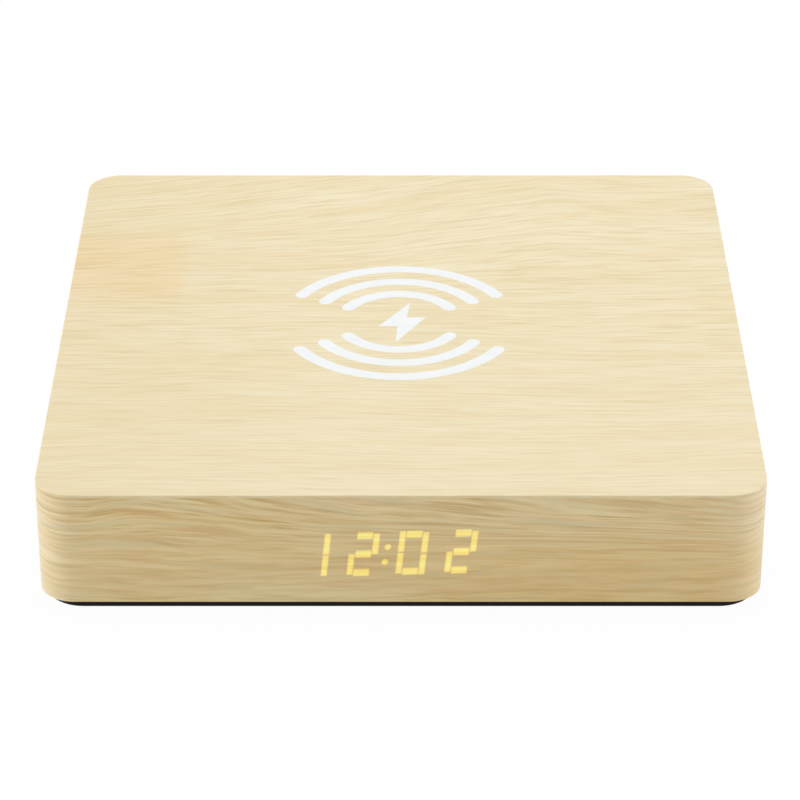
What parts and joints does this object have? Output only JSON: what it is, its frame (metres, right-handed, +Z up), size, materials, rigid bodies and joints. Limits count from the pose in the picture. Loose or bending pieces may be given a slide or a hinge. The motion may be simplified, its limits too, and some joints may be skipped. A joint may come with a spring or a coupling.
{
  "type": "wireless charging alarm clock",
  "caption": "Square desk clock in light wood-grain veneer with a glowing time display on its front edge and a wireless phone charging pad on its top.",
  "frame": {"origin": "centre of the case's footprint, on the surface that the feet stand on", "axes": "+Z up; -Y is the display's side; +Y is the side with the port and the buttons; +X to the right as the display is read"},
  "size_m": [0.15, 0.15, 0.0285],
  "materials": {
    "top_veneer": "satin light wood-grain veneer",
    "side_veneer": "satin light wood-grain veneer",
    "core_board": "raw fibreboard",
    "black_plastic": "fine moulded texture",
    "rubber": "matt",
    "steel": "bright plated",
    "circuit_board": "solder resist",
    "chip_plastic": "moulded",
    "white_plastic": "moulded",
    "diffuser": "translucent film",
    "copper": "enamelled copper",
    "ferrite": "sintered ferrite",
    "tape": "matt",
    "ceramic": "fired ceramic"
  },
  "bodies": {
    "case": {"top_veneer": "top_veneer", "side_veneer": "side_veneer", "top_panel": "core_board", "side_frame": "core_board", "base_plate": "black_plastic", "control_panel": "black_plastic", "usb_shell": "steel", "usb_tongue": "chip_plastic", "main_board": "circuit_board", "display_board": "circuit_board", "clock_chip": "chip_plastic", "charger_chip": "chip_plastic", "crystal": "steel", "power_inductor": "ferrite", "buzzer": "chip_plastic", "coin_cell": "steel", "cell_contact_plus": "steel", "cell_contact_minus": "steel", "display_reflector": "white_plastic", "display_diffuser": "diffuser", "display_connector": "white_plastic", "board_connector": "white_plastic", "display_ribbon": "tape", "charging_coil": "copper", "coil_tape": "tape", "ferrite_plate": "ferrite", "coil_lead_inner": "copper", "coil_lead_outer": "copper", "rubber_foot_1": "rubber", "base_screw_1": "steel", "board_screw_1": "steel", "resonance_capacitor_1": "ceramic", "rubber_foot_2": "rubber", "base_screw_2": "steel", "board_screw_2": "steel", "resonance_capacitor_2": "ceramic", "rubber_foot_3": "rubber", "base_screw_3": "steel", "board_screw_3": "steel", "resonance_capacitor_3": "ceramic", "rubber_foot_4": "rubber", "base_screw_4": "steel", "board_screw_4": "steel", "resonance_capacitor_4": "ceramic", "panel_screw_1": "steel", "display_screw_1": "steel", "panel_screw_2": "steel", "display_screw_2": "steel", "set_switch_body": "chip_plastic", "up_switch_body": "chip_plastic", "down_switch_body": "chip_plastic"},
    "set_key": {"set_button": "black_plastic", "set_switch_plunger": "white_plastic"},
    "up_key": {"up_button": "black_plastic", "up_switch_plunger": "white_plastic"},
    "down_key": {"down_button": "black_plastic", "down_switch_plunger": "white_plastic"},
    "cap": {"battery_cap": "black_plastic"}
  },
  "joints": [
    {"name": "set_press", "type": "slide", "parent": "case", "child": "set_key", "axis": [0, -1, 0], "range_m": [0, 0.0005], "stiffness_N_per_m": 1200},
    {"name": "up_press", "type": "slide", "parent": "case", "child": "up_key", "axis": [0, -1, 0], "range_m": [0, 0.0005], "stiffness_N_per_m": 1200},
    {"name": "down_press", "type": "slide", "parent": "case", "child": "down_key", "axis": [0, -1, 0], "range_m": [0, 0.0005], "stiffness_N_per_m": 1200},
    {"name": "cap_twist", "type": "hinge", "parent": "case", "child": "cap", "pos_m": [0.014, 0.044, 0.0016], "axis": [0, 0, -1], "range_deg": [0, 40]}
  ]
}
